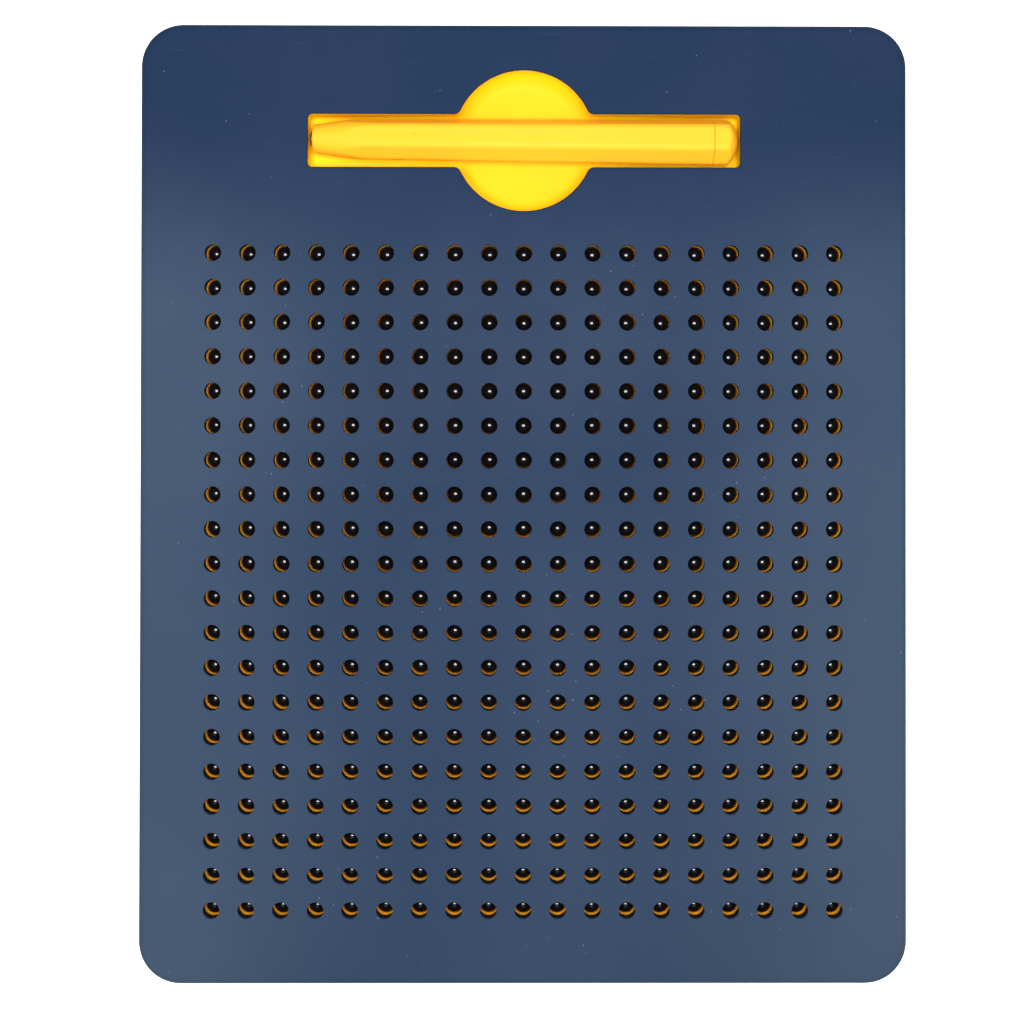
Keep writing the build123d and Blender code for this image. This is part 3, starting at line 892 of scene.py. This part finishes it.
FLOOR_DROP = 0.02
FLOOR_SIZE = 4000.0
CAMERA_X = 0.0
CAMERA_Y = 26.0
CAMERA_HEIGHT = 416.2  # above the drawing face
CAMERA_LENS = 56.19  # millimetres, for a sensor 36 mm wide
CAMERA_TURN = (0.449, -0.290, 0.078)  # degrees about X, Y and Z
CAMERA_SHIFT = (-0.0193, -0.1180)  # of the picture, as shares of its width

SKY_BASE = 0.45
SKY_PATCHES = [  # azimuth, zenith angle, inner and outer radius in degrees, added brightness
    (90, 10, 4, 30, -0.4),
    (90, 28, 6, 18, 1.5),
    (270, 42, 8, 28, 1.6),
]
SOFTBOX_PLACE = (0.0, 40.0, 460.0)
SOFTBOX_WIDTH = 280.0
SOFTBOX_LENGTH = 180.0
SOFTBOX_WATTS = 2.9


def floor_material():
    """Pale and faintly glowing from above, and clear from below so that the back can be seen."""
    n = Nodes("pale_floor")
    n.surface.inputs["Emission Color"].default_value = colour(1, 1, 1)
    choice = n.add("ShaderNodeMixShader")
    n.put(n.add("ShaderNodeNewGeometry").outputs["Backfacing"], choice.inputs["Fac"])
    n.put(n.surface.outputs["BSDF"], choice.inputs[1])
    n.put(n.add("ShaderNodeBsdfTransparent").outputs["BSDF"], choice.inputs[2])
    n.put(choice.outputs["Shader"], n.tree.nodes["Material Output"].inputs["Surface"])
    return n.finish(Base_Color=colour(0.86, 0.86, 0.86), Roughness=0.8, Emission_Strength=0.9)


def build_floor():
    half = FLOOR_SIZE / 2 * MM
    mesh = bpy.data.meshes.new("pale_floor")
    corners = [(-half, -half), (half, -half), (half, half), (-half, half)]
    mesh.from_pydata([(x, y, -FLOOR_DROP * MM) for x, y in corners], [], [(0, 1, 2, 3)])
    floor = bpy.data.objects.new("pale_floor", mesh)
    bpy.context.scene.collection.objects.link(floor)
    mesh.materials.append(floor_material())


def soft_disc(tree, direction, azimuth, zenith, inner, outer, gain):
    """Light from a round patch of sky; the angles are in degrees, azimuth 0 is +X and 90 is +Y."""
    turn, lean = math.radians(azimuth), math.radians(zenith)
    centre = (math.sin(lean) * math.cos(turn), math.sin(lean) * math.sin(turn), math.cos(lean))
    nearness = tree.nodes.new("ShaderNodeVectorMath")
    nearness.operation = "DOT_PRODUCT"
    nearness.inputs[1].default_value = centre
    tree.links.new(direction, nearness.inputs[0])
    ramp = tree.nodes.new("ShaderNodeMapRange")
    ramp.interpolation_type = "SMOOTHSTEP"
    for name, value in (
        ("From Min", math.cos(math.radians(outer))), ("From Max", math.cos(math.radians(inner))),
        ("To Min", 0.0), ("To Max", gain),
    ):
        ramp.inputs[name].default_value = value
    tree.links.new(nearness.outputs["Value"], ramp.inputs["Value"])
    return ramp.outputs["Result"]


def build_world():
    """A white studio seen as an even sky with brighter and darker round patches."""
    world = bpy.data.worlds.new("studio")
    bpy.context.scene.world = world
    world.use_nodes = True
    tree = world.node_tree
    direction = tree.nodes.new("ShaderNodeTexCoord").outputs["Generated"]
    total = None
    for patch in SKY_PATCHES:
        light = soft_disc(tree, direction, *patch)
        add = tree.nodes.new("ShaderNodeMath")
        add.operation = "ADD"
        tree.links.new(light, add.inputs[0])
        if total is None:
            add.inputs[1].default_value = SKY_BASE
        else:
            tree.links.new(total, add.inputs[1])
        total = add.outputs["Value"]
    background = tree.nodes["Background"]
    background.inputs["Color"].default_value = colour(1, 1, 1)
    tree.links.new(total, background.inputs["Strength"])


def build_softbox():
    """Wide soft lamp just behind the camera; it lights the floors of the holes and of the recess."""
    data = bpy.data.lights.new("softbox", "AREA")
    data.shape = "RECTANGLE"
    data.size = SOFTBOX_WIDTH * MM
    data.size_y = SOFTBOX_LENGTH * MM
    data.energy = SOFTBOX_WATTS
    light = bpy.data.objects.new("softbox", data)
    bpy.context.scene.collection.objects.link(light)
    light.location = Vector(SOFTBOX_PLACE) * MM


def build_camera():
    data = bpy.data.cameras.new("camera")
    data.lens = CAMERA_LENS
    data.sensor_width = 36.0
    data.clip_start, data.clip_end = 0.01, 20.0
    data.shift_x, data.shift_y = CAMERA_SHIFT
    camera = bpy.data.objects.new("camera", data)
    bpy.context.scene.collection.objects.link(camera)
    camera.location = Vector((CAMERA_X, CAMERA_Y, FACE_Z + CAMERA_HEIGHT)) * MM
    camera.rotation_euler = [math.radians(angle) for angle in CAMERA_TURN]
    bpy.context.scene.camera = camera


# ---- The scene ----

dress(build_front_cover(), "navy_plastic")
dress(build_ball_tray(), "yellow_plastic")
chance = random.Random(19)
sphere = ball_template()
for row in range(ROWS):
    dress(build_ball_row(row, sphere, chance), "ball_steel")
dress(build_pen_barrel(), "pen_plastic")
dress(build_pen_cap(), "pen_plastic")
for node, slot in (
    ("magnet_sheet", "magnet_sheet"),
    ("back_cover", "navy_plastic"),
    ("case_screws", "screw_steel"),
    ("pen_magnet", "magnet_metal"),
):
    dress(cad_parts[node], slot)

build_floor()
build_world()
build_softbox()
build_camera()
bpy.context.scene.view_settings.view_transform = "Standard"
